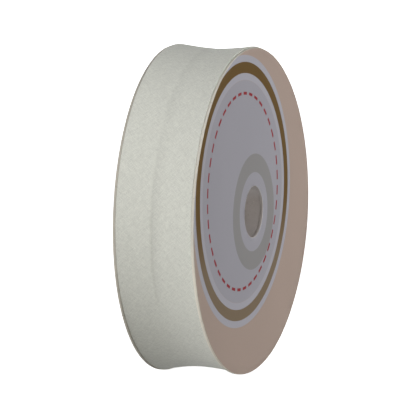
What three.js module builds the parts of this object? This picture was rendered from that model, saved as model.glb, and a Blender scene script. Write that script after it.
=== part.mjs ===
// A full reel of folded bias tape, standing on its rims.
// Two card discs sit on the ends of a card core, and the tape is wound on the core between them.
// Units are millimetres and +Z is up. The reel's axle runs along X and the printed disc faces +X.
// The origin lies on the surface that the reel stands on, under the middle of the reel.

import * as THREE from 'three';

// Driving dimensions
const TAPE_WIDTH = 30;            // folded width of the tape, which sets the room between the discs
const DISC_DIAMETER = 124;
const DISC_THICKNESS = 1.0;
const HUB_HOLE_DIAMETER = 19.4;
const CORE_WALL = 2.0;
const FLAT_DEPTH = 0.25;          // how far each rim is pressed flat where the reel stands
const CLEARANCE = 0.3;            // gap kept between neighbouring pieces
const ROUND_STEPS = 96;           // straight steps around each full turn
const SADDLE_STEPS = 12;          // straight steps across the wound tape

// The wound tape sags between the discs like a saddle.
// across runs from -1 at the back disc to +1 at the front disc.
// drop is how far the outermost turn lies below the rim of the discs there.
const SADDLE = [
  { across: -1.0, drop: 0.4 },
  { across: -0.5, drop: 1.3 },
  { across: 0.0, drop: 1.85 },
  { across: 0.5, drop: 1.45 },
  { across: 1.0, drop: 0.8 },
];

// Sizes that follow from the driving dimensions
const discRadius = DISC_DIAMETER / 2;
const holeRadius = HUB_HOLE_DIAMETER / 2;
const axleHeight = discRadius - FLAT_DEPTH;
const wallGap = TAPE_WIDTH / 2;
const halfWound = wallGap - CLEARANCE;
const coreRadius = holeRadius + CORE_WALL;
const windingBore = coreRadius + CLEARANCE;

// Finishes
const printedCard = new THREE.MeshStandardMaterial({ color: 0xb9b4b6, roughness: 0.5, metalness: 0 });
const greyBoard = new THREE.MeshStandardMaterial({ color: 0xb3aa9b, roughness: 0.9, metalness: 0 });
const coreBoard = new THREE.MeshStandardMaterial({ color: 0x9c938a, roughness: 0.9, metalness: 0 });
const whiteCotton = new THREE.MeshStandardMaterial({ color: 0xe6e6de, roughness: 0.95, metalness: 0 });

/** Outline of a disc in its own plane: a circle cut by a short flat at the bottom, with the hub hole. */
function discOutline() {
  const halfFlat = Math.acos(axleHeight / discRadius);
  const bottom = -Math.PI / 2;
  const outline = new THREE.Shape();
  outline.absarc(0, 0, discRadius, bottom + halfFlat, bottom + 2 * Math.PI - halfFlat, false);
  outline.closePath();
  const hole = new THREE.Path();
  hole.absarc(0, 0, holeRadius, 0, 2 * Math.PI, true);
  outline.holes.push(hole);
  return outline;
}

/** A card disc with its faces square to the axle, its lower face at lowX along the axle. */
function makeDisc(name, material, lowX) {
  const card = new THREE.ExtrudeGeometry(discOutline(), {
    depth: DISC_THICKNESS,
    bevelEnabled: false,
    // An arc is drawn with two straight steps for each curve segment
    curveSegments: ROUND_STEPS / 2,
  });
  const disc = new THREE.Mesh(card, material);
  disc.name = name;
  // The outline's plane is stood up to face along the axle
  disc.rotation.set(Math.PI / 2, Math.PI / 2, 0);
  disc.position.x = lowX;
  return disc;
}

/** A closed ring turned about the axle, from profile points of (radius, place along the axle). */
function makeRing(name, material, profile) {
  const closed = [...profile, profile[0].clone()];
  const ring = new THREE.Mesh(new THREE.LatheGeometry(closed, ROUND_STEPS), material);
  ring.name = name;
  // The lathe's own axis is laid down along the axle
  ring.rotation.z = -Math.PI / 2;
  return ring;
}

/** The plain card tube under the tape. Its bore lines up with the holes of the discs. */
function makeCore() {
  const profile = [
    new THREE.Vector2(holeRadius, -halfWound),
    new THREE.Vector2(coreRadius, -halfWound),
    new THREE.Vector2(coreRadius, halfWound),
    new THREE.Vector2(holeRadius, halfWound),
  ];
  return makeRing('core', coreBoard, profile);
}

/** All the turns of tape as one wound body, with the saddle of its outermost turn. */
function makeWinding() {
  const saddle = new THREE.SplineCurve(SADDLE.map(
    ({ across, drop }) => new THREE.Vector2(discRadius - drop, across * halfWound),
  ));
  const profile = [
    new THREE.Vector2(windingBore, -halfWound),
    ...saddle.getPoints(SADDLE_STEPS),
    new THREE.Vector2(windingBore, halfWound),
  ];
  return makeRing('winding', whiteCotton, profile);
}

const reel = new THREE.Group();
reel.position.z = axleHeight;
reel.add(
  makeDisc('front_disc', printedCard, wallGap),
  makeDisc('back_disc', greyBoard, -wallGap - DISC_THICKNESS),
  makeCore(),
  makeWinding(),
);

export default reel;
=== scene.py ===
"""Looks for a full reel of folded bias tape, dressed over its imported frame.

The reel stands on its rims with its axle along X, and its printed disc faces +X.
Every length is in metres. The reel's main sizes are read from the frame.
"""

import logging
import math
from dataclasses import dataclass, field
from enum import Enum
from typing import Any, Dict, List, Mapping, Optional, Sequence, Tuple, Union

import bmesh
import bpy
import numpy as np
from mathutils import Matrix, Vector


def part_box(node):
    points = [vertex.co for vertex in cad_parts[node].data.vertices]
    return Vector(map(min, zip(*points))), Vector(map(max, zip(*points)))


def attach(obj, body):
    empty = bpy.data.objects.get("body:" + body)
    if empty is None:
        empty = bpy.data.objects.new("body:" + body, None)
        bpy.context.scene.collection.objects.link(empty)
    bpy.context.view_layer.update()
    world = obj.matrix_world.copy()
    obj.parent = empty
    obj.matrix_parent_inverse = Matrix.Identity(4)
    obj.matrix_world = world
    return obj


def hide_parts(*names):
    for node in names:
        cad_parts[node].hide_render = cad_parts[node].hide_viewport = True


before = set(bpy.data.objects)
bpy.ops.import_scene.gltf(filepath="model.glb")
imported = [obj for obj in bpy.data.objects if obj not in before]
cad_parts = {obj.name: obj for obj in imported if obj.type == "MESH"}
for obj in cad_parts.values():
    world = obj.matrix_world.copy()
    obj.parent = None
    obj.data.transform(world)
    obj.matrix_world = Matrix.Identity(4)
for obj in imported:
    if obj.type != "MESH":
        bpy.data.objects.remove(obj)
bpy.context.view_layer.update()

LOG = logging.getLogger("reel")
BODY = "root"
STRIP_MARK = "strip"
CLOTH_MAP = "cloth"
MM = 0.001
FULL_TURN = 2.0 * math.pi
SHARP_ANGLE = math.radians(50.0)

# Places of the colour sockets on a Mix node, whose other sockets have the same names
MIX_SHARE, MIX_FIRST, MIX_SECOND, MIX_RESULT = 0, 6, 7, 2

Colour = Tuple[float, float, float]
Operand = Union["Term", float, int, Sequence[float], str, bool]


# Node trees written as expressions


class Term:
    """A node's output socket that takes part in arithmetic. Each operator adds one Math node."""

    def __init__(self, graph: "Graph", socket: Optional[bpy.types.NodeSocket]) -> None:
        """Keeps the socket and the graph that it belongs to."""
        self.graph = graph
        self.socket = socket

    def __add__(self, other: Operand) -> "Term":
        """Sum of the two."""
        return self.graph.math("ADD", self, other)

    def __radd__(self, other: Operand) -> "Term":
        """Sum of the two."""
        return self.graph.math("ADD", other, self)

    def __sub__(self, other: Operand) -> "Term":
        """This less the other."""
        return self.graph.math("SUBTRACT", self, other)

    def __rsub__(self, other: Operand) -> "Term":
        """The other less this."""
        return self.graph.math("SUBTRACT", other, self)

    def __mul__(self, other: Operand) -> "Term":
        """Product of the two."""
        return self.graph.math("MULTIPLY", self, other)

    def __rmul__(self, other: Operand) -> "Term":
        """Product of the two."""
        return self.graph.math("MULTIPLY", other, self)

    def __truediv__(self, other: Operand) -> "Term":
        """This divided by the other."""
        return self.graph.math("DIVIDE", self, other)

    def __rtruediv__(self, other: Operand) -> "Term":
        """The other divided by this."""
        return self.graph.math("DIVIDE", other, self)

    def __pow__(self, power: Operand) -> "Term":
        """This raised to a power."""
        return self.graph.math("POWER", self, power)

    def __rpow__(self, base: Operand) -> "Term":
        """A base raised to this power."""
        return self.graph.math("POWER", base, self)

    def __lt__(self, other: Operand) -> "Term":
        """One where this is below the other, else zero."""
        return self.graph.math("LESS_THAN", self, other)

    def __gt__(self, other: Operand) -> "Term":
        """One where this is above the other, else zero."""
        return self.graph.math("GREATER_THAN", self, other)

    def sin(self) -> "Term":
        """Sine of this angle."""
        return self.graph.math("SINE", self)

    def cos(self) -> "Term":
        """Cosine of this angle."""
        return self.graph.math("COSINE", self)

    def exp(self) -> "Term":
        """The number e raised to this."""
        return self.graph.math("EXPONENT", self)

    def floor(self) -> "Term":
        """Largest whole number that isn't above this."""
        return self.graph.math("FLOOR", self)

    def fract(self) -> "Term":
        """What is left above the whole number."""
        return self.graph.math("FRACT", self)

    def at_least(self, low: Operand) -> "Term":
        """This, or the low limit where that is larger."""
        return self.graph.math("MAXIMUM", self, low)

    def rise(self, start: Operand, end: Operand) -> "Term":
        """Goes smoothly from 0 at start to 1 at end. The end may lie below the start."""
        inputs = {"Value": self, "From Min": start, "From Max": end}
        return self.graph.node("ShaderNodeMapRange", {"interpolation_type": "SMOOTHSTEP"}, inputs)

    def sibling(self, output: str) -> "Term":
        """Another output of the node that this one comes from."""
        return Term(self.graph, self.socket.node.outputs[output])


class Graph:
    """A node tree under construction, for a finish or for a shape."""

    def __init__(self, tree: bpy.types.NodeTree) -> None:
        """Keeps the tree that nodes are added to."""
        self.tree = tree

    def node(
        self,
        kind: str,
        settings: Optional[Mapping[str, Any]] = None,
        inputs: Optional[Mapping[Union[str, int], Operand]] = None,
        output: Union[str, int] = 0,
    ) -> Term:
        """Adds one node, sets it up and feeds its sockets.

        Args:
            kind: Blender's type name of the node.
            settings: Properties of the node, set before its sockets are used.
            inputs: Values or terms for the sockets, by name or number.
            output: The output that the returned term stands for.

        Returns:
            The chosen output of the new node, or an empty term where it has no output.
        """
        made = self.tree.nodes.new(kind)
        for name, value in (settings or {}).items():
            setattr(made, name, value)
        for key, value in (inputs or {}).items():
            socket = made.inputs[key]
            if isinstance(value, Term):
                self.tree.links.new(value.socket, socket)
            else:
                socket.default_value = value
        if not made.outputs:
            return Term(self, None)
        return Term(self, made.outputs[output])

    def math(self, operation: str, *operands: Operand) -> Term:
        """One Math node on up to three numbers."""
        return self.node("ShaderNodeMath", {"operation": operation}, dict(enumerate(operands)))

    def vector(self, x: Operand, y: Operand, z: Operand) -> Term:
        """A vector of three numbers."""
        return self.node("ShaderNodeCombineXYZ", None, {"X": x, "Y": y, "Z": z})

    def parts(self, vector: Term) -> Tuple[Term, Term, Term]:
        """The three numbers of a vector."""
        x = self.node("ShaderNodeSeparateXYZ", None, {0: vector})
        return x, x.sibling("Y"), x.sibling("Z")

    def noise(self, vector: Term, scale: float, detail: float = 2.0, roughness: float = 0.5) -> Term:
        """Smooth noise between 0 and 1, whose scale counts its bumps for each unit of the vector."""
        inputs = {"Vector": vector, "Scale": scale, "Detail": detail, "Roughness": roughness}
        return self.node("ShaderNodeTexNoise", {"noise_dimensions": "3D"}, inputs, "Fac")

    def blend(self, share: Operand, first: Union[Term, Colour], second: Union[Term, Colour]) -> Term:
        """A colour between two others.

        Args:
            share: 0 gives the first colour and 1 the second.
            first: Colour or colour term.
            second: Colour or colour term.

        Returns:
            The mixed colour.
        """
        solid = [c if isinstance(c, Term) else (*c, 1.0) for c in (first, second)]
        inputs = {MIX_SHARE: share, MIX_FIRST: solid[0], MIX_SECOND: solid[1]}
        return self.node("ShaderNodeMix", {"data_type": "RGBA"}, inputs, MIX_RESULT)

    def shade(self, colour: Union[Term, Colour], tone: Term) -> Term:
        """A colour made lighter or darker by a number around 1."""
        return self.node("ShaderNodeVectorMath", {"operation": "SCALE"}, {0: colour, "Scale": tone})

    def bump(self, height: Term, depth: float, strength: float = 1.0) -> Term:
        """A surface normal tilted by a height. The depth is how far a height of 1 stands out."""
        inputs = {"Height": height, "Distance": depth, "Strength": strength}
        return self.node("ShaderNodeBump", None, inputs)


# Finishes


class Finish:
    """Steps that every procedural finish shares."""

    name: str = "finish"

    def paint(self, graph: Graph) -> Dict[str, Operand]:
        """The shader's varying inputs, by socket name."""
        raise NotImplementedError

    def constants(self) -> Dict[str, float]:
        """The shader's inputs that are the same all over."""
        return {}

    def material(self) -> bpy.types.Material:
        """Builds the node material of this finish.

        Returns:
            The new material.
        """
        material = bpy.data.materials.new(self.name)
        material.use_nodes = True
        material.node_tree.nodes.clear()
        graph = Graph(material.node_tree)
        inputs: Dict[Union[str, int], Operand] = dict(self.constants())
        inputs.update(self.paint(graph))
        surface = graph.node("ShaderNodeBsdfPrincipled", None, inputs)
        graph.node("ShaderNodeOutputMaterial", None, {"Surface": surface})
        return material


@dataclass(frozen=True)
class CottonCloth(Finish):
    """Off-white cotton in plain weave whose threads cross the tape at 45 degrees."""

    name: str = "cotton_tape"
    colour: Colour = (0.79, 0.80, 0.733)
    # Colour of the painted shade in the hollows between threads
    gap_shade_colour: Colour = (0.65, 0.655, 0.59)
    pitch: float = 0.42 * MM
    slub_length: float = 3.2 * MM
    slub_contrast: float = 0.38
    slub_relief: float = 0.6
    thread_offset: float = 7.31
    mottle_size: float = 1.0 * MM
    mottle_contrast: float = 0.22
    gap_shade_edge: Tuple[float, float] = (0.05, 0.6)
    strip_painted_shade: float = 0.11
    weave_depth: float = 0.06 * MM
    weave_strength: float = 0.5

    def constants(self) -> Dict[str, float]:
        """Matt cloth with a little fuzz."""
        return {"Roughness": 0.95, "Sheen Weight": 0.12, "Sheen Roughness": 0.6}

    def thread(self, graph: Graph, over: Term, along: Term, sign: float) -> Tuple[Term, Term]:
        """One of the two sets of threads.

        Args:
            graph: The graph that is drawn in.
            over: Place across the threads, counted in threads.
            along: Place along them, counted in threads of the other set.
            sign: 1 or -1, so that one set rises where the other dips.

        Returns:
            Height of the thread, and its slow change of tone along its length.
        """
        number = over.floor()
        round_back = (over * math.pi).sin() ** 2.0
        wave = ((along + number) * math.pi).sin() * sign
        height = round_back * (0.5 + 0.5 * wave)
        spot = graph.vector(number * self.thread_offset, along * (self.pitch / self.slub_length), sign)
        return height, graph.noise(spot, 1.0, detail=1.0)

    def paint(self, graph: Graph) -> Dict[str, Operand]:
        """Woven threads, with slubs and painted shade in the hollows between them.

        Args:
            graph: The graph that is drawn in.

        Returns:
            The shader's varying inputs, by socket name.
        """
        place = graph.node("ShaderNodeUVMap", {"uv_map": CLOTH_MAP})
        length, width, _ = graph.parts(place)
        diagonal = 1.0 / (math.sqrt(2.0) * self.pitch)
        first_way = (length + width) * diagonal
        second_way = (length - width) * diagonal
        warp, warp_tone = self.thread(graph, first_way, second_way, 1.0)
        weft, weft_tone = self.thread(graph, second_way, first_way, -1.0)
        warp_on_top = warp > weft
        height = warp.at_least(weft)
        slub = warp_on_top * warp_tone + (1.0 - warp_on_top) * weft_tone
        mottle = graph.noise(place, 1.0 / self.mottle_size, detail=3.0, roughness=0.6)
        sunk = graph.node("ShaderNodeAttribute", {"attribute_name": STRIP_MARK}, None, "Fac")
        tone = 1.0 + (slub - 0.5) * self.slub_contrast + (mottle - 0.5) * self.mottle_contrast
        # Painted shade: the sunk strip along the middle of the tape is darkened
        tone = tone - sunk * self.strip_painted_shade
        # Painted shade: the hollows between the threads take a darker colour
        cloth = graph.blend(height.rise(*self.gap_shade_edge), self.gap_shade_colour, self.colour)
        return {
            "Base Color": graph.shade(cloth, tone),
            "Normal": graph.bump(height + slub * self.slub_relief, self.weave_depth, self.weave_strength),
        }


@dataclass(frozen=True)
class PrintedCard(Finish):
    """Satin label card: an off-centre lilac circle in a gold ring, on pinkish beige."""

    name: str = "printed_card"
    axle_height: float = 0.0
    rim_radius: float = 0.0
    hole_radius: float = 0.0
    beige: Colour = (0.59, 0.466, 0.40)
    lilac: Colour = (0.51, 0.50, 0.552)
    pale_lilac: Colour = (0.58, 0.57, 0.63)
    grey: Colour = (0.40, 0.39, 0.39)
    gold: Colour = (0.345, 0.263, 0.18)
    painted_shade_gold: Colour = (0.235, 0.145, 0.055)
    red: Colour = (0.42, 0.06, 0.07)
    bare_card: Colour = (0.74, 0.71, 0.64)
    circle_shift: Tuple[float, float] = (-11.0 * MM, 9.0 * MM)
    circle_radius: float = 42.0 * MM
    gold_width: float = 4.2 * MM
    gold_shade_fade: Tuple[float, float] = (-22.0 * MM, 4.0 * MM)
    pale_width: float = 2.6 * MM
    hub_ring: Tuple[float, float] = (15.0 * MM, 22.0 * MM)
    stitch_inset: float = 5.0 * MM
    stitch_width: float = 1.1 * MM
    stitch_count: int = 40
    dash_start: Tuple[float, float] = (0.0, 0.06)
    dash_end: Tuple[float, float] = (0.68, 0.62)
    ink_edge: float = 0.12 * MM
    base_tone: float = 0.93
    side_painted_light: float = 2.0
    grain_scale: float = 2600.0
    grain_contrast: float = 0.08
    cloud_scale: float = 45.0
    cloud_contrast: float = 0.06
    scuff_scale: float = 420.0
    scuff_reach: float = 0.9 * MM
    rim_scuff: Tuple[float, float] = (0.05 * MM, 0.2 * MM)
    hole_scuff: Tuple[float, float] = (-0.15 * MM, -0.3 * MM)
    scuff_share: float = 0.8
    rim_wear_and_highlight_fade: Tuple[float, float] = (0.0, -24.0 * MM)
    rub_least: float = 0.3
    gold_metal: float = 0.12
    satin: float = 0.44
    cloud_matt: float = 0.08
    worn_matt: float = 0.3
    gold_polish: float = 0.03
    pebble_scale: float = 900.0
    pebble_depth: float = 0.012 * MM
    pebble_strength: float = 0.6

    def band(self, distance: Term, inner: float, outer: float) -> Term:
        """A ring of ink with soft edges.

        Args:
            distance: Distance from the middle of the ring.
            inner: Where the ring begins.
            outer: Where it ends.

        Returns:
            One inside the ring, else zero.
        """
        half = self.ink_edge / 2.0
        inside = distance.rise(inner - half, inner + half)
        return inside * distance.rise(outer + half, outer - half)

    def printed(self, graph: Graph, side: Term, up: Term, from_hub: Term) -> Tuple[Term, Term]:
        """Areas of ink, from the ground up.

        Args:
            graph: The graph that is drawn in.
            side: Place across the card, from the axle.
            up: Place above the axle.
            from_hub: Distance from the axle.

        Returns:
            The ink's colour, and one where it is gold.
        """
        right = side - self.circle_shift[0]
        rise = up - self.circle_shift[1]
        from_circle = (right * right + rise * rise) ** 0.5
        gold_start = self.circle_radius + self.pale_width
        gold_end = gold_start + self.gold_width
        inside = from_circle.rise(self.circle_radius, self.circle_radius - self.ink_edge)
        pale = self.band(from_circle, self.circle_radius, gold_start)
        pale = pale.at_least(self.band(from_circle, gold_end, gold_end + self.pale_width))
        gold = self.band(from_circle, gold_start, gold_end)
        ring = self.band(from_hub, *self.hub_ring)
        turn = graph.math("ARCTAN2", rise, right) * (self.stitch_count / FULL_TURN)
        dash = turn.fract().rise(*self.dash_end) * turn.fract().rise(*self.dash_start)
        seam = self.circle_radius - self.stitch_inset
        half_stitch = self.stitch_width / 2.0
        stitch = dash * self.band(from_circle, seam - half_stitch, seam + half_stitch)
        # Painted shade: the gold turns darker and browner high up and stays paler low down
        shaded_gilt = graph.blend(up.rise(*self.gold_shade_fade), self.gold, self.painted_shade_gold)
        ink = graph.blend(inside, self.beige, self.lilac)
        ink = graph.blend(pale, ink, self.pale_lilac)
        ink = graph.blend(ring, ink, self.grey)
        ink = graph.blend(stitch, ink, self.red)
        return graph.blend(gold, ink, shaded_gilt), gold

    def wear(self, graph: Graph, place: Term, up: Term, from_hub: Term) -> Term:
        """Where the print is rubbed off, at the hub hole and at the rim. The rim shows the most bare card
        low down, partly wear and partly a painted highlight.

        Args:
            graph: The graph that is drawn in.
            place: Place on the card.
            up: Place above the axle.
            from_hub: Distance from the axle.

        Returns:
            Share of bare card that shows.
        """
        ragged = graph.noise(place, self.scuff_scale, detail=3.0, roughness=0.7) * self.scuff_reach
        rim = (from_hub + ragged).rise(*(self.rim_radius + step for step in self.rim_scuff))
        hole = (from_hub - ragged).rise(*(self.hole_radius + step for step in self.hole_scuff))
        # Partly painted highlight: more pale bare card shows at the rim low down
        rubbed = self.rub_least + up.rise(*self.rim_wear_and_highlight_fade) * (1.0 - self.rub_least)
        return (rim * rubbed).at_least(hole) * self.scuff_share

    def paint(self, graph: Graph) -> Dict[str, Operand]:
        """The print with the grain of the card, worn through at its rims.

        Args:
            graph: The graph that is drawn in.

        Returns:
            The shader's varying inputs, by socket name.
        """
        place = graph.node("ShaderNodeTexCoord", None, None, "Object")
        _, side, height = graph.parts(place)
        up = height - self.axle_height
        from_hub = (side * side + up * up) ** 0.5
        ink, gold = self.printed(graph, side, up, from_hub)
        worn = self.wear(graph, place, up, from_hub)
        grain = graph.noise(place, self.grain_scale, detail=2.0)
        cloud = graph.noise(place, self.cloud_scale, detail=3.0)
        tone = self.base_tone + grain * self.grain_contrast + cloud * self.cloud_contrast
        # Painted light and shade: the print grows lighter towards +Y and darker towards -Y
        ink = graph.shade(ink, tone * (1.0 + side * self.side_painted_light))
        matt = self.satin + cloud * self.cloud_matt + worn * self.worn_matt - gold * self.gold_polish
        pebble = graph.noise(place, self.pebble_scale, detail=3.0)
        return {
            "Base Color": graph.blend(worn, ink, self.bare_card),
            "Metallic": gold * (1.0 - worn) * self.gold_metal,
            "Roughness": matt,
            "Normal": graph.bump(pebble, self.pebble_depth, self.pebble_strength),
        }


@dataclass(frozen=True)
class Board(Finish):
    """Plain pressed board with fibres and flecks."""

    name: str = "grey_board"
    colour: Colour = (0.55, 0.515, 0.45)
    dark_fleck: Colour = (0.27, 0.24, 0.20)
    pale_fleck: Colour = (0.66, 0.63, 0.57)
    fibre_scale: float = 700.0
    fleck_ratio: float = 1.7
    dark_edge: Tuple[float, float] = (0.68, 0.78)
    pale_edge: Tuple[float, float] = (0.32, 0.22)
    base_tone: float = 0.86
    pulp_contrast: float = 0.2
    pulp_depth: float = 0.05 * MM
    pulp_strength: float = 0.7
    cloud_scale: float = 60.0
    cloud_contrast: float = 0.08

    def constants(self) -> Dict[str, float]:
        """Matt board."""
        return {"Roughness": 0.9}

    def ground(self, graph: Graph, place: Term) -> Union[Term, Colour]:
        """Colour of the pulp between the flecks."""
        return self.colour

    def paint(self, graph: Graph) -> Dict[str, Operand]:
        """Cloudy pulp with scattered dark and pale fibres.

        Args:
            graph: The graph that is drawn in.

        Returns:
            The shader's varying inputs, by socket name.
        """
        place = graph.node("ShaderNodeTexCoord", None, None, "Object")
        pulp = graph.noise(place, self.fibre_scale, detail=4.0, roughness=0.65)
        cloud = graph.noise(place, self.cloud_scale, detail=3.0)
        fleck = graph.noise(place, self.fibre_scale * self.fleck_ratio, detail=1.0)
        tint = graph.blend(fleck.rise(*self.dark_edge), self.ground(graph, place), self.dark_fleck)
        tint = graph.blend(fleck.rise(*self.pale_edge), tint, self.pale_fleck)
        tone = self.base_tone + pulp * self.pulp_contrast + cloud * self.cloud_contrast
        return {
            "Base Color": graph.shade(tint, tone),
            "Normal": graph.bump(pulp, self.pulp_depth, self.pulp_strength),
        }


@dataclass(frozen=True)
class PaintedLightBoard(Board):
    """Board whose colour changes with height, between two heights above the floor, as painted light and
    shade.
    """

    low_colour: Colour = (0.5, 0.5, 0.5)
    fade: Tuple[float, float] = (0.0, 1.0)

    def ground(self, graph: Graph, place: Term) -> Union[Term, Colour]:
        """Colour of the pulp, from its own high up to the other one low down."""
        _, _, height = graph.parts(place)
        return graph.blend(height.rise(*self.fade), self.colour, self.low_colour)


@dataclass(frozen=True)
class PaleFloor(Finish):
    """Plain pale studio floor."""

    name: str = "pale_floor"
    colour: Colour = (0.9, 0.9, 0.9)
    glow: float = 0.86

    def constants(self) -> Dict[str, float]:
        """Matt, with an even glow that keeps it near white."""
        return {"Roughness": 0.9, "Emission Strength": self.glow}

    def paint(self, graph: Graph) -> Dict[str, Operand]:
        """One pale colour."""
        return {"Base Color": (*self.colour, 1.0), "Emission Color": (1.0, 1.0, 1.0, 1.0)}


# Shapes carried around the axle


class Zone(Enum):
    """Which finish a stretch of a section takes.

    The values are corners of a square, in the order in which the zones meet around a disc.
    So the middle of two neighbours lies near no other zone.
    """

    FACE = (0.0, 0.0, 0.0)
    EDGE = (1.0, 0.0, 0.0)
    INNER = (1.0, 1.0, 0.0)
    HOLE = (0.0, 1.0, 0.0)

    @property
    def finish_input(self) -> str:
        """Name of the tree input that takes this zone's material."""
        return f"{self.name.title()} Finish"


@dataclass
class Section:
    """A closed outline in a plane through the axle, point by point."""

    along: List[float] = field(default_factory=list)
    radius: List[float] = field(default_factory=list)
    zone: List[Tuple[float, float, float]] = field(default_factory=list)
    lift: List[float] = field(default_factory=list)
    hollow: List[float] = field(default_factory=list)

    def add(self, along: float, radius: float, zone: Zone, lift: float = 0.0, hollow: float = 0.0) -> None:
        """Adds the next point.

        Args:
            along: Place along the axle.
            radius: Distance from the axle.
            zone: Finish of the outline here.
            lift: Share of the winding's spiral and hoist that moves this point.
            hollow: Share of the hollow that is pressed in here.
        """
        self.along.append(along)
        self.radius.append(radius)
        self.zone.append(zone.value)
        self.lift.append(lift)
        self.hollow.append(hollow)

    def run(self) -> np.ndarray:
        """Length of the outline up to each point."""
        steps = np.hypot(np.diff(self.along), np.diff(self.radius))
        return np.concatenate([[0.0], np.cumsum(steps)])

    def mesh(self, name: str) -> bpy.types.Mesh:
        """The outline as a mesh of edges, with its values as point attributes.

        Args:
            name: Name of the mesh.

        Returns:
            The new mesh.
        """
        count = len(self.along)
        points = [(a, 0.0, r) for a, r in zip(self.along, self.radius)]
        edges = [(i, (i + 1) % count) for i in range(count)]
        mesh = bpy.data.meshes.new(name)
        mesh.from_pydata(points, edges, [])
        for key, values in (("lift", self.lift), ("hollow", self.hollow), ("run", self.run())):
            layer = mesh.attributes.new(key, "FLOAT", "POINT")
            layer.data.foreach_set("value", np.asarray(values, np.float32))
        layer = mesh.attributes.new("zone", "FLOAT_VECTOR", "POINT")
        layer.data.foreach_set("vector", np.asarray(self.zone, np.float32).ravel())
        return mesh


@dataclass(frozen=True)
class SweepRule:
    """How a section is carried once around the axle.

    Attributes:
        steps: Places around the turn.
        start: Angle where the turn begins.
        closing: Share of the turn from the last place back to the first. 0 makes all steps alike.
        gain: Radius that lifted points gain over the whole turn.
        twist: Turns by which that gain runs on along each metre of the axle.
        hoist: Height by which lifted points are raised.
        bow: How far the top and bottom lie behind the middle, along the axle.
        dish: How far the hub stands out beyond the rim, along the axle.
        skew: How far opposite quarters are twisted apart, along the axle.
        waver: Uneven warp of the card.
        swell: Uneven swelling of lifted points.
        press: How far the rim is pressed flat at the floor.
        hollow: Depth of the hollow.
    """

    steps: int
    start: float = 0.0
    closing: float = 0.0
    gain: float = 0.0
    twist: float = 0.0
    hoist: float = 0.0
    bow: float = 0.0
    dish: float = 0.0
    skew: float = 0.0
    waver: float = 0.0
    swell: float = 0.0
    press: float = 0.0
    hollow: float = 0.0


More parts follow.
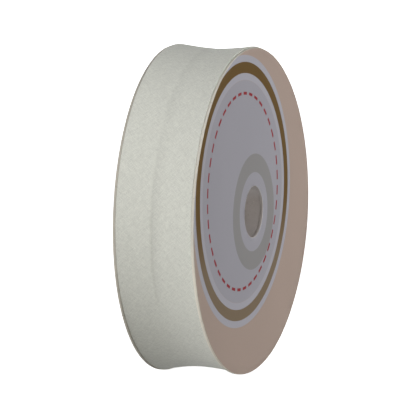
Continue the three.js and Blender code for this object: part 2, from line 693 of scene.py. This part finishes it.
class AxleSweep:
    """A geometry tree that turns a section about the axle, as wound, cut and settled by hand."""

    HELPERS = ("section", "turn", "zone", "lift", "hollow", "run")
    RULES = (
        "Start", "Closing", "Gain", "Twist", "Hoist", "Bow",
        "Dish", "Skew", "Waver", "Swell", "Press", "Hollow",
    )
    PRESS_SPREAD = 0.5
    HOLLOW_FADE = (-0.68, -0.1)
    HOLLOW_EASE = (0.1, 0.5)
    EASED_SHARE = 0.5
    ZONE_REACH = 0.6
    RIPPLE_RUN = 12.0
    RIPPLE_SCALE = 2.4
    WARP_SCALE = 22.0

    def __init__(self, axle_height: float, rim_radius: float) -> None:
        """Builds the tree.

        Args:
            axle_height: Height of the axle above the floor.
            rim_radius: Radius of the discs.
        """
        self.axle_height = axle_height
        self.rim_radius = rim_radius
        self.sockets: Dict[str, str] = {}
        self.tree = bpy.data.node_groups.new("axle_sweep", "GeometryNodeTree")
        self.tree.is_modifier = True
        self.graph = Graph(self.tree)
        self._build()

    def _input(self, name: str, kind: str) -> None:
        """Adds a named input to the tree and keeps its identifier."""
        socket = self.tree.interface.new_socket(name=name, in_out="INPUT", socket_type=kind)
        self.sockets[name] = socket.identifier

    def _stored(self, geometry: Term, name: str, value: Term, kind: str, domain: str = "POINT") -> Term:
        """Keeps a value on the geometry under a name.

        Args:
            geometry: The geometry that takes the value.
            name: Name of the attribute.
            value: The value at each place.
            kind: Blender's data type of the attribute.
            domain: Where the values sit.

        Returns:
            The geometry with the attribute.
        """
        settings = {"data_type": kind, "domain": domain}
        inputs = {"Geometry": geometry, "Name": name, "Value": value}
        return self.graph.node("GeometryNodeStoreNamedAttribute", settings, inputs)

    def _read(self, name: str, kind: str = "FLOAT") -> Term:
        """A value that was kept on the geometry under a name."""
        return self.graph.node("GeometryNodeInputNamedAttribute", {"data_type": kind}, {"Name": name})

    def _build(self) -> None:
        """Makes the inputs, the swept mesh, its places and its finishes."""
        self._input("Section", "NodeSocketGeometry")
        self._input("Steps", "NodeSocketInt")
        for name in self.RULES:
            self._input(name, "NodeSocketFloat")
        for zone in Zone:
            self._input(zone.finish_input, "NodeSocketMaterial")
        self.tree.interface.new_socket(name="Piece", in_out="OUTPUT", socket_type="NodeSocketGeometry")

        graph = self.graph
        given = graph.node("NodeGroupInput")
        section = graph.node("GeometryNodeMeshToCurve", None, {"Mesh": given})
        spot = graph.node("GeometryNodeInputPosition")
        section = self._stored(section, "section", spot, "FLOAT_VECTOR")
        steps = given.sibling("Steps")
        ring = graph.node("GeometryNodeCurvePrimitiveCircle", None, {"Resolution": steps})
        turn = graph.node("GeometryNodeInputIndex") / (steps - 1.0) * (1.0 - given.sibling("Closing"))
        ring = self._stored(ring, "turn", turn, "FLOAT")
        swept = graph.node("GeometryNodeCurveToMesh", None, {"Curve": ring, "Profile Curve": section})

        turn = self._read("turn")
        swept = self._stored(swept, STRIP_MARK, self._hollow(given, turn), "FLOAT")
        place = self._place(given, turn)
        placed = graph.node("GeometryNodeSetPosition", None, {"Geometry": swept, "Position": place})
        cloth = graph.vector(turn * (FULL_TURN * self.rim_radius), self._read("run"), 0.0)
        placed = self._stored(placed, CLOTH_MAP, cloth, "FLOAT2", "CORNER")
        piece = graph.node("GeometryNodeSetShadeSmooth", None, {0: placed})
        piece = graph.node("GeometryNodeRealizeInstances", None, {0: piece})
        level = self._read("zone", "FLOAT_VECTOR")
        for zone in Zone:
            distance = {"operation": "DISTANCE"}
            off = graph.node("ShaderNodeVectorMath", distance, {0: level, 1: zone.value}, "Value")
            finish = given.sibling(zone.finish_input)
            inputs = {"Geometry": piece, "Selection": off < self.ZONE_REACH, "Material": finish}
            piece = graph.node("GeometryNodeSetMaterial", None, inputs)
        graph.node("NodeGroupOutput", None, {0: piece})

    def _hollow(self, given: Term, turn: Term) -> Term:
        """Share of the hollow at each point. It fades out towards the floor and is eased over the top.

        Args:
            given: The tree's inputs.
            turn: Share of the turn made so far, from 0 to 1.

        Returns:
            The share, between 0 and 1.
        """
        reach = (given.sibling("Start") + turn * FULL_TURN).sin()
        eased = 1.0 - reach.rise(*self.HOLLOW_EASE) * self.EASED_SHARE
        return self._read("hollow") * reach.rise(*self.HOLLOW_FADE) * eased

    def _place(self, given: Term, turn: Term) -> Term:
        """Where each point of the swept section lies.

        Args:
            given: The tree's inputs.
            turn: Share of the turn made so far, from 0 to 1.

        Returns:
            The place in the reel's frame.
        """
        graph = self.graph
        along, _, radius = graph.parts(self._read("section", "FLOAT_VECTOR"))
        lift = self._read("lift")
        angle = given.sibling("Start") + turn * FULL_TURN
        wound = (turn + along * given.sibling("Twist")).fract() - 0.5
        around = graph.vector(angle.cos(), angle.sin(), along * self.RIPPLE_RUN)
        ripple = graph.noise(around, self.RIPPLE_SCALE, detail=2.0) - 0.5
        radius = radius + lift * (wound * given.sibling("Gain") + ripple * given.sibling("Swell"))
        radius = radius - self._read(STRIP_MARK) * given.sibling("Hollow")
        share = radius / self.rim_radius
        from_bottom = angle.cos() / self.PRESS_SPREAD
        pressed = (0.0 - from_bottom * from_bottom).exp() * (angle.sin() < 0.0)
        radius = radius - given.sibling("Press") * pressed * share
        side = radius * angle.cos()
        rise = radius * angle.sin() + lift * given.sibling("Hoist")
        reach = rise / self.rim_radius
        warp = graph.noise(graph.vector(side, rise, 0.0), self.WARP_SCALE, detail=1.0) - 0.5
        bowed = along + given.sibling("Bow") * (0.5 - reach * reach)
        bowed = bowed + given.sibling("Dish") * (1.0 - share * share)
        bowed = bowed - given.sibling("Skew") * reach * (side / self.rim_radius)
        bowed = bowed + warp * given.sibling("Waver") * share * share
        return graph.vector(bowed, side, rise + self.axle_height)

    def make(
        self,
        name: str,
        section: Section,
        rule: SweepRule,
        finishes: Mapping[Zone, bpy.types.Material],
    ) -> bpy.types.Object:
        """Turns a section into a finished piece.

        Args:
            name: Name of the piece.
            section: The closed outline to carry around.
            rule: How it is carried.
            finishes: Material of each zone of the outline.

        Returns:
            The piece, as a plain mesh at the origin.
        """
        carrier = bpy.data.objects.new(name, section.mesh(f"{name}_section"))
        bpy.context.scene.collection.objects.link(carrier)
        modifier = carrier.modifiers.new("sweep", "NODES")
        modifier.node_group = self.tree
        values: Dict[str, Any] = {key: getattr(rule, key.lower()) for key in self.RULES}
        values["Steps"] = rule.steps
        values["Closing"] = rule.closing or 1.0 / rule.steps
        for zone in Zone:
            values[zone.finish_input] = finishes[zone]
        for key, value in values.items():
            modifier[self.sockets[key]] = value
        evaluated = carrier.evaluated_get(bpy.context.evaluated_depsgraph_get())
        mesh = bpy.data.meshes.new_from_object(evaluated)
        carrier.modifiers.remove(modifier)
        outline = carrier.data
        carrier.data = mesh
        bpy.data.meshes.remove(outline)
        mesh.name = name
        for key in self.HELPERS:
            if key in mesh.attributes:
                mesh.attributes.remove(mesh.attributes[key])
        close_faces(mesh)
        return carrier


def close_faces(mesh: bpy.types.Mesh) -> None:
    """Points all faces of a closed mesh outwards and marks its sharp edges.

    Args:
        mesh: The closed mesh, which is changed in place.
    """
    work = bmesh.new()
    work.from_mesh(mesh)
    bmesh.ops.recalc_face_normals(work, faces=work.faces)
    work.to_mesh(mesh)
    work.free()
    mesh.set_sharp_from_angle(angle=SHARP_ANGLE)


# The reel's pieces


@dataclass(frozen=True)
class ReelSizes:
    """Sizes of the reel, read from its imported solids."""

    axle_height: float
    rim_radius: float
    hole_radius: float
    core_radius: float
    winding_bore: float
    front_inner: float
    front_outer: float
    back_inner: float
    back_outer: float

    # A box doesn't show a bore, so these two repeat the solids' own sizes
    CORE_WALL = 2.0 * MM
    BORE_GAP = 0.3 * MM

    @classmethod
    def from_frame(cls) -> "ReelSizes":
        """Reads the sizes from the boxes of the solids.

        Returns:
            The reel's sizes.
        """
        front_low, front_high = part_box("front_disc")
        back_low, back_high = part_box("back_disc")
        core_low, core_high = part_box("core")
        core_radius = (core_high.z - core_low.z) / 2.0
        return cls(
            axle_height=(core_high.z + core_low.z) / 2.0,
            rim_radius=(front_high.y - front_low.y) / 2.0,
            hole_radius=core_radius - cls.CORE_WALL,
            core_radius=core_radius,
            winding_bore=core_radius + cls.BORE_GAP,
            front_inner=front_low.x,
            front_outer=front_high.x,
            back_inner=back_high.x,
            back_outer=back_low.x,
        )


# How the card is bent. Bow and skew are shared by all the pieces, and the printed disc alone is dished
BOW = 0.95 * MM
DISH = 0.48 * MM
SKEW = 0.37 * MM
WAVER = 0.25 * MM


@dataclass
class TapeWinding:
    """All the turns of folded tape, with the outermost one modelled cloth-deep.

    The two turned-in edges of the tape stop short of each other inside the fold.
    So the cloth sinks in a strip along the middle, steeply on its back side and gently on its front side.
    """

    sizes: ReelSizes
    side_gap: float = 0.04 * MM
    turn_thickness: float = 0.43 * MM
    shown_turns: int = 6
    fold_angles: Tuple[float, ...] = (60.0, 20.0, -20.0, -60.0)
    fold_shift: float = 0.05 * MM
    fold_phase: float = 2.4
    swell: float = 0.18 * MM
    strip_start: float = -1.5 * MM
    strip_width: float = 4.6 * MM
    strip_slope: float = 0.4 * MM
    strip_depth: float = 0.22 * MM
    strip_climb: float = 1.5
    places: int = 91
    drops: Tuple[float, ...] = (0.3 * MM, 1.2 * MM, 1.65 * MM, 1.25 * MM, 0.6 * MM)
    back_flare: float = 0.3 * MM
    front_flare: float = 0.35 * MM
    flare_reach: float = 2.6 * MM
    hoist: float = 0.84 * MM
    back_grip: float = 0.5
    grip_reach: float = 4.0 * MM
    end_angle: float = math.radians(-38.0)
    end_step: float = 0.05 * MM
    steps: int = 480

    @property
    def wall(self) -> float:
        """How far the winding reaches along the axle, to either side."""
        return self.sizes.front_inner - self.side_gap

    @property
    def fold(self) -> float:
        """Radius of the folded edge of a turn."""
        return self.turn_thickness / 2.0

    def drop(self, along: float) -> float:
        """How far the outermost turn lies below the rims. It flares up beside both discs.

        Args:
            along: Place along the axle.

        Returns:
            The depth below the rims.
        """
        places = np.linspace(-1.0, 1.0, len(self.drops))
        curve = np.polyfit(places, self.drops, len(self.drops) - 1)
        saddle = float(np.polyval(curve, along / self.sizes.front_inner))
        from_back = along - self.sizes.back_inner
        from_front = self.sizes.front_inner - along
        flare = self.back_flare * math.exp(-from_back / self.flare_reach)
        flare += self.front_flare * math.exp(-from_front / self.flare_reach)
        return saddle - flare

    def sunk(self, along: float) -> float:
        """Share of the sunk strip's depth.

        Args:
            along: Place along the axle.

        Returns:
            The share, between 0 and 1.
        """
        inside = along - self.strip_start
        dropped = 0.5 + 0.5 * math.tanh(inside / self.strip_slope)
        climbed = min(max(inside / self.strip_width, 0.0), 1.0) ** self.strip_climb
        return dropped * (1.0 - climbed)

    def lift(self, along: float) -> float:
        """Share of the winding's lift at a place along the axle. The back disc grips the tape beside it."""
        from_back = along - self.sizes.back_inner
        return 1.0 - self.back_grip * math.exp(-from_back / self.grip_reach)

    def edge(self, section: Section, side: float, outwards: bool) -> None:
        """Adds the folded edges of the outer turns on one side.

        Args:
            section: The outline that is being drawn.
            side: -1 at the back disc and 1 at the front disc.
            outwards: True when the outline climbs to the rim, False when it goes back down.
        """
        top = self.sizes.rim_radius - self.drop(side * self.wall)
        points = []
        for turn in range(self.shown_turns):
            centre = top - self.fold - turn * self.turn_thickness
            shift = self.fold_shift * math.sin(turn * self.fold_phase) ** 2
            for angle in self.fold_angles:
                lean = math.radians(angle)
                reach = self.wall - self.fold - shift + self.fold * math.cos(lean)
                points.append((side * reach, centre + self.fold * math.sin(lean)))
        points.append((side * (self.wall - self.fold), points[-1][1] - self.turn_thickness))
        for along, radius in reversed(points) if outwards else points:
            section.add(along, radius, Zone.FACE, self.lift(along))

    def section(self) -> Section:
        """Draws the winding from the bore, over the saddle and back.

        Returns:
            The closed outline.
        """
        section = Section()
        flank = self.wall - self.fold
        section.add(-flank, self.sizes.winding_bore, Zone.FACE)
        self.edge(section, -1.0, outwards=True)
        for along in np.linspace(-flank, flank, self.places):
            radius = self.sizes.rim_radius - self.drop(along)
            section.add(along, radius, Zone.FACE, self.lift(along), self.sunk(along))
        self.edge(section, 1.0, outwards=False)
        section.add(flank, self.sizes.winding_bore, Zone.FACE)
        return section

    def build(self, sweep: AxleSweep) -> bpy.types.Object:
        """Makes the winding and puts it on its body.

        Args:
            sweep: The tree that turns sections about the axle.

        Returns:
            The finished piece.
        """
        cloth = CottonCloth().material()
        rule = SweepRule(
            steps=self.steps,
            start=self.end_angle,
            closing=self.end_step / (FULL_TURN * self.sizes.rim_radius),
            gain=self.turn_thickness,
            hoist=self.hoist,
            bow=BOW,
            skew=SKEW,
            waver=WAVER,
            swell=self.swell,
            hollow=self.strip_depth,
        )
        piece = sweep.make("tape_winding", self.section(), rule, {zone: cloth for zone in Zone})
        return seat(piece, "winding", "cotton_tape")


@dataclass
class CardDisc:
    """One of the two die-cut card discs."""

    sizes: ReelSizes
    name: str
    node: str
    slot: str
    inner: float
    outer: float
    dish: float = 0.0
    corner: float = 0.16 * MM
    corner_angles: Tuple[float, ...] = (30.0, 60.0, 90.0)
    rings: int = 22
    steps: int = 288

    def cut_edge(self, section: Section, radius: float, inwards: float, zone: Zone, from_face: bool) -> None:
        """Adds one die-cut edge with its two slightly rounded corners.

        Args:
            section: The outline that is being drawn.
            radius: Distance of the cut from the axle.
            inwards: 1 when the card lies outside the cut, -1 when it lies inside.
            zone: Finish of the cut.
            from_face: True when the outline comes from the outer face.
        """
        faces = (self.outer, self.inner) if from_face else (self.inner, self.outer)
        for face, angles in zip(faces, (self.corner_angles, reversed(self.corner_angles))):
            into_card = math.copysign(self.corner, (self.inner + self.outer) / 2.0 - face)
            for angle in angles:
                lean = math.radians(angle)
                along = face + into_card * (1.0 - math.cos(lean))
                section.add(along, radius + inwards * self.corner * (1.0 - math.sin(lean)), zone)

    def section(self) -> Section:
        """Draws the card from the hub hole out over the outer face and back inside.

        Returns:
            The closed outline.
        """
        section = Section()
        hole, rim = self.sizes.hole_radius, self.sizes.rim_radius
        rings = np.linspace(hole + self.corner, rim - self.corner, self.rings)
        for radius in rings:
            section.add(self.outer, radius, Zone.FACE)
        self.cut_edge(section, rim, -1.0, Zone.EDGE, from_face=True)
        for radius in reversed(rings):
            section.add(self.inner, radius, Zone.INNER)
        self.cut_edge(section, hole, 1.0, Zone.HOLE, from_face=False)
        return section

    def build(self, sweep: AxleSweep, finishes: Mapping[Zone, bpy.types.Material]) -> bpy.types.Object:
        """Makes the disc and puts it on its body.

        Args:
            sweep: The tree that turns sections about the axle.
            finishes: Materials of its face, rim, inner side and hub hole.

        Returns:
            The finished piece.
        """
        press = self.sizes.rim_radius - self.sizes.axle_height
        rule = SweepRule(steps=self.steps, bow=BOW, dish=self.dish, skew=SKEW, waver=WAVER, press=press)
        piece = sweep.make(self.name, self.section(), rule, finishes)
        return seat(piece, self.node, self.slot)


@dataclass
class CardCore:
    """The spiral-wound card tube that the tape is wound on."""

    sizes: ReelSizes
    end_gap: float = 0.1 * MM
    ply_step: float = 0.12 * MM
    ply_lead: float = 24.0 * MM
    steps: int = 200
    rows: int = 60

    def section(self) -> Section:
        """Draws the tube's wall, with the bore in fine steps. Its front end follows the dished disc.

        Returns:
            The closed outline.
        """
        section = Section()
        bore = self.sizes.hole_radius + self.ply_step
        outside = self.sizes.core_radius
        dished = DISH * (1.0 - (outside / self.sizes.rim_radius) ** 2)
        front = self.sizes.front_inner - self.end_gap + dished
        back = self.sizes.back_inner + self.end_gap
        for along in np.linspace(front, back, self.rows):
            section.add(along, bore, Zone.FACE, lift=1.0)
        section.add(back, outside, Zone.EDGE)
        section.add(front, outside, Zone.EDGE)
        return section

    def build(self, sweep: AxleSweep, board: bpy.types.Material) -> bpy.types.Object:
        """Makes the core and puts it on its body.

        Args:
            sweep: The tree that turns sections about the axle.
            board: Material of the tube.

        Returns:
            The finished piece.
        """
        rule = SweepRule(
            steps=self.steps, gain=self.ply_step, twist=1.0 / self.ply_lead, bow=BOW, skew=SKEW
        )
        piece = sweep.make("card_core", self.section(), rule, {zone: board for zone in Zone})
        return seat(piece, "core", "core_board")


def seat(piece: bpy.types.Object, node: str, slot: str) -> bpy.types.Object:
    """Lets a piece stand for its solid and move with it.

    Args:
        piece: The finished piece.
        node: The solid that it replaces.
        slot: The record's material slot. Not used.

    Returns:
        The same piece.
    """
    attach(piece, BODY)
    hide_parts(node)
    LOG.info("%s stands for %s with %d faces", piece.name, node, len(piece.data.polygons))
    return piece


# Studio


@dataclass(frozen=True)
class SoftLamp:
    """A square studio light that faces the reel."""

    name: str
    azimuth: float
    elevation: float
    power: float
    distance: float = 1.6
    width: float = 1.0
    colour: Colour = (1.0, 1.0, 1.0)

    def build(self, aim: Vector) -> None:
        """Hangs the lamp around the reel and turns it to face the aim.

        Args:
            aim: The place that the lamp faces.
        """
        data = bpy.data.lights.new(self.name, "AREA")
        data.size = self.width
        data.energy = self.power
        data.color = self.colour
        lamp = bpy.data.objects.new(self.name, data)
        lamp.visible_camera = False
        bpy.context.scene.collection.objects.link(lamp)
        back = direction(self.azimuth, self.elevation)
        lamp.location = aim + back * self.distance
        lamp.rotation_euler = (-back).to_track_quat("-Z", "Y").to_euler()


def direction(azimuth: float, elevation: float) -> Vector:
    """The way from the reel towards a place around it.

    Args:
        azimuth: Degrees from -Y towards +X.
        elevation: Degrees above the horizon.

    Returns:
        A vector of length 1.
    """
    turn, tilt = math.radians(azimuth), math.radians(elevation)
    return Vector((math.sin(turn) * math.cos(tilt), -math.cos(turn) * math.cos(tilt), math.sin(tilt)))


@dataclass(frozen=True)
class PhotoView:
    """The photograph's point of view."""

    azimuth: float = 20.98
    elevation: float = 7.8
    distance: float = 2.0
    pixels: int = 420
    pixels_per_metre: float = 2637.0
    shift_px: Tuple[float, float] = (1.86, 0.5)
    sensor: float = 36.0
    clip_end: float = 50.0

    def build(self, centre: Vector) -> None:
        """Makes the camera and aims it so that the reel sits where the photograph has it.

        Args:
            centre: Middle of the reel.
        """
        data = bpy.data.cameras.new("photo_view")
        data.sensor_width = self.sensor
        data.lens = self.pixels_per_metre * self.distance / self.pixels * self.sensor
        camera = bpy.data.objects.new("photo_view", data)
        bpy.context.scene.collection.objects.link(camera)
        back = direction(self.azimuth, self.elevation)
        turned = (-back).to_track_quat("-Z", "Y")
        right, up = turned @ Vector((1, 0, 0)), turned @ Vector((0, 1, 0))
        aim = centre - (right * self.shift_px[0] + up * self.shift_px[1]) / self.pixels_per_metre
        camera.location = aim + back * self.distance
        camera.rotation_euler = turned.to_euler()
        data.clip_end = self.clip_end
        bpy.context.scene.camera = camera


@dataclass(frozen=True)
class Studio:
    """Pale cove, soft lamps and a little light from all round."""

    floor_radius: float = 3.0
    cove_radius: float = 3.0
    cove_steps: int = 16
    cove_turns: int = 96
    ambient_top: float = 0.01
    ambient_bottom: float = 0.02
    lamps: Tuple[SoftLamp, ...] = (
        SoftLamp("left", azimuth=-40.0, elevation=20.0, power=16.5),
        SoftLamp("right", azimuth=88.0, elevation=31.0, power=14.3),
        SoftLamp("rear", azimuth=-160.0, elevation=0.0, power=13.0),
        SoftLamp("front_bounce", azimuth=33.0, elevation=-15.0, power=8.2, colour=(1.0, 0.985, 0.945)),
        SoftLamp("left_bounce", azimuth=-75.0, elevation=-15.0, power=6.1),
        SoftLamp("rear_bounce", azimuth=-120.0, elevation=-40.0, power=6.6),
    )

    def build(self, aim: Vector) -> None:
        """Sets the stage around the reel.

        Args:
            aim: The place that the lamps face.
        """
        scene = bpy.context.scene
        scene.view_settings.view_transform = "Standard"
        for lamp in self.lamps:
            lamp.build(aim)
        self._cove()
        self._ambient()

    def _cove(self) -> None:
        """Lays the floor that the reel stands on, which curves up into a wall far around it."""
        work = bmesh.new()
        path = [work.verts.new((0.0, 0.0, 0.0)), work.verts.new((self.floor_radius, 0.0, 0.0))]
        for step in range(1, self.cove_steps + 1):
            lean = math.radians(90.0) * step / self.cove_steps
            out = self.floor_radius + self.cove_radius * math.sin(lean)
            path.append(work.verts.new((out, 0.0, self.cove_radius * (1.0 - math.cos(lean)))))
        edges = [work.edges.new(pair) for pair in zip(path, path[1:])]
        bmesh.ops.spin(
            work,
            geom=path + edges,
            axis=(0.0, 0.0, 1.0),
            cent=(0.0, 0.0, 0.0),
            angle=FULL_TURN,
            steps=self.cove_turns,
        )
        bmesh.ops.remove_doubles(work, verts=work.verts, dist=MM)
        bmesh.ops.recalc_face_normals(work, faces=work.faces)
        work.faces.ensure_lookup_table()
        if work.faces[0].normal.z < 0.0:
            bmesh.ops.reverse_faces(work, faces=work.faces)
        mesh = bpy.data.meshes.new("floor")
        work.to_mesh(mesh)
        work.free()
        mesh.shade_smooth()
        mesh.materials.append(PaleFloor().material())
        floor = bpy.data.objects.new("floor", mesh)
        bpy.context.scene.collection.objects.link(floor)
        floor.visible_diffuse = False
        floor.visible_glossy = False
        floor.visible_shadow = False

    def _ambient(self) -> None:
        """Faint light from all round, a little stronger from below."""
        world = bpy.data.worlds.new("studio")
        bpy.context.scene.world = world
        world.use_nodes = True
        world.node_tree.nodes.clear()
        graph = Graph(world.node_tree)
        way = graph.node("ShaderNodeTexCoord", None, None, "Generated")
        _, _, up = graph.parts(way)
        level = up.rise(-1.0, 1.0) * (self.ambient_top - self.ambient_bottom) + self.ambient_bottom
        glow = graph.node("ShaderNodeBackground", None, {"Color": (1, 1, 1, 1), "Strength": level})
        graph.node("ShaderNodeOutputWorld", None, {"Surface": glow})


def main() -> None:
    """Builds the camera, the reel and the studio in order."""
    logging.basicConfig(level=logging.INFO, format="%(name)s: %(message)s")
    sizes = ReelSizes.from_frame()
    centre = Vector((0.0, 0.0, sizes.axle_height))
    PhotoView().build(centre)
    sweep = AxleSweep(sizes.axle_height, sizes.rim_radius)

    printed = PrintedCard(
        axle_height=sizes.axle_height,
        rim_radius=sizes.rim_radius,
        hole_radius=sizes.hole_radius,
    ).material()
    board = Board().material()
    # Painted highlight: the front disc's cut rim and inner side turn paler low down
    cut_card = PaintedLightBoard(
        "cut_card",
        colour=(0.70, 0.67, 0.595),
        dark_fleck=(0.5, 0.46, 0.4),
        low_colour=(0.88, 0.84, 0.73),
        fade=(62.0 * MM, 38.0 * MM),
    ).material()
    # Painted shade: the tube's bore turns darker low down, against the light falling on it
    tube = PaintedLightBoard(
        "core_board",
        colour=(0.576, 0.548, 0.54),
        dark_fleck=(0.42, 0.385, 0.36),
        pale_fleck=(0.53, 0.49, 0.465),
        low_colour=(0.485, 0.443, 0.422),
        fade=(69.5 * MM, 64.0 * MM),
    ).material()

    TapeWinding(sizes).build(sweep)
    front = CardDisc(
        sizes, "printed_disc", "front_disc", "printed_card", sizes.front_inner, sizes.front_outer, DISH
    )
    # Painted shade: the hub hole's cut edge takes the darker tube board, not the pale cut card
    front.build(
        sweep,
        {Zone.FACE: printed, Zone.EDGE: cut_card, Zone.INNER: cut_card, Zone.HOLE: tube},
    )
    back = CardDisc(sizes, "plain_disc", "back_disc", "grey_board", sizes.back_inner, sizes.back_outer)
    back.build(sweep, {zone: board for zone in Zone})
    CardCore(sizes).build(sweep, tube)
    Studio().build(centre)


if __name__ == "__main__":
    main()
